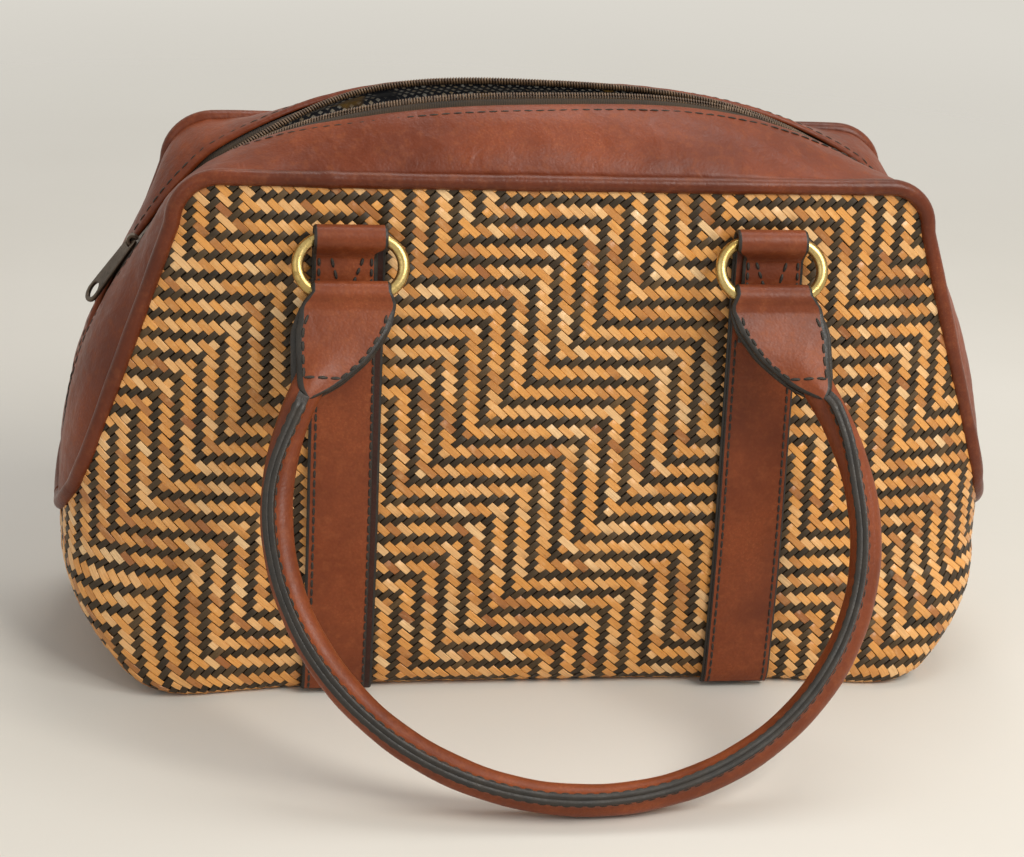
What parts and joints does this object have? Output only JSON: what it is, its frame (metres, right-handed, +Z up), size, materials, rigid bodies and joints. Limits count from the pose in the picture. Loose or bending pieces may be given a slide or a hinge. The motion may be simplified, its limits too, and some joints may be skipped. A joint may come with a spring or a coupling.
{
  "type": "handbag",
  "caption": "Satchel plaited from two-tone cane strips in a stepped twill, with brown leather gussets, piping and straps, oval ring handles and a zipped mouth standing open.",
  "frame": {"origin": "middle of the base, on the floor", "axes": "+X along the width to the right of a viewer of the front, -Y out of the front, +Z up"},
  "size_m": [0.3884, 0.343, 0.2346],
  "materials": {
    "cane": "plaited natural and dark-stained cane strips, satin",
    "board": "plain stiffening board, hidden",
    "lining_cloth": "dark printed cotton",
    "leather": "reddish-brown smooth leather, waxed, lightly creased",
    "leather_dark": "the same leather rolled as piping",
    "zip_tape": "woven olive-brown tape",
    "zip_coil": "brown nylon coil",
    "dark_metal": "dark gunmetal plating",
    "brass": "aged brass, satin"
  },
  "bodies": {
    "bag": {"woven_body": "cane", "base_board": "board", "lining": "lining_cloth", "front_gusset": "leather", "back_gusset": "leather", "front_piping": "leather_dark", "back_piping": "leather_dark", "zip_tape_front": "zip_tape", "zip_tape_back": "zip_tape", "zip_coil_front": "zip_coil", "zip_coil_back": "zip_coil", "front_strap_left": "leather", "front_strap_right": "leather", "back_strap_left": "leather", "back_strap_right": "leather"},
    "front_left_link": {"front_ring_left": "brass"},
    "front_right_link": {"front_ring_right": "brass"},
    "front_grip": {"front_handle": "leather"},
    "back_left_link": {"back_ring_left": "brass"},
    "back_right_link": {"back_ring_right": "brass"},
    "back_grip": {"back_handle": "leather"},
    "slider": {"zip_slider": "dark_metal"},
    "pull": {"zip_pull": "dark_metal"}
  },
  "joints": [
    {"name": "front_left_ring", "type": "hinge", "parent": "bag", "child": "front_left_link", "pos_m": [-0.082, -0.05131, 0.188], "axis": [-1, 0, 0], "range_deg": [-4, 150]},
    {"name": "front_right_ring", "type": "hinge", "parent": "bag", "child": "front_right_link", "pos_m": [0.082, -0.05131, 0.188], "axis": [-1, 0, 0], "range_deg": [-4, 150]},
    {"name": "front_handle_swing", "type": "hinge", "parent": "front_left_link", "child": "front_grip", "pos_m": [-0.082, -0.06103, 0.16893], "axis": [-1, 0, 0], "range_deg": [-20, 10]},
    {"name": "back_left_ring", "type": "hinge", "parent": "bag", "child": "back_left_link", "pos_m": [-0.082, 0.05131, 0.188], "axis": [1, 0, 0], "range_deg": [-4, 150]},
    {"name": "back_right_ring", "type": "hinge", "parent": "bag", "child": "back_right_link", "pos_m": [0.082, 0.05131, 0.188], "axis": [1, 0, 0], "range_deg": [-4, 150]},
    {"name": "back_handle_swing", "type": "hinge", "parent": "back_left_link", "child": "back_grip", "pos_m": [-0.082, 0.06103, 0.16893], "axis": [1, 0, 0], "range_deg": [-20, 10]},
    {"name": "slider_run", "type": "slide", "parent": "bag", "child": "slider", "axis": [0.6337, 0, 0.7736], "range_m": [0, 0.034]},
    {"name": "pull_swing", "type": "hinge", "parent": "slider", "child": "pull", "pos_m": [-0.16277, 0, 0.16921], "axis": [0, 1, 0], "range_deg": [0, 115]}
  ],
  "couplings": [
    {"joint": "front_right_ring", "follows": "front_left_ring", "ratio": 1},
    {"joint": "back_right_ring", "follows": "back_left_ring", "ratio": 1}
  ]
}
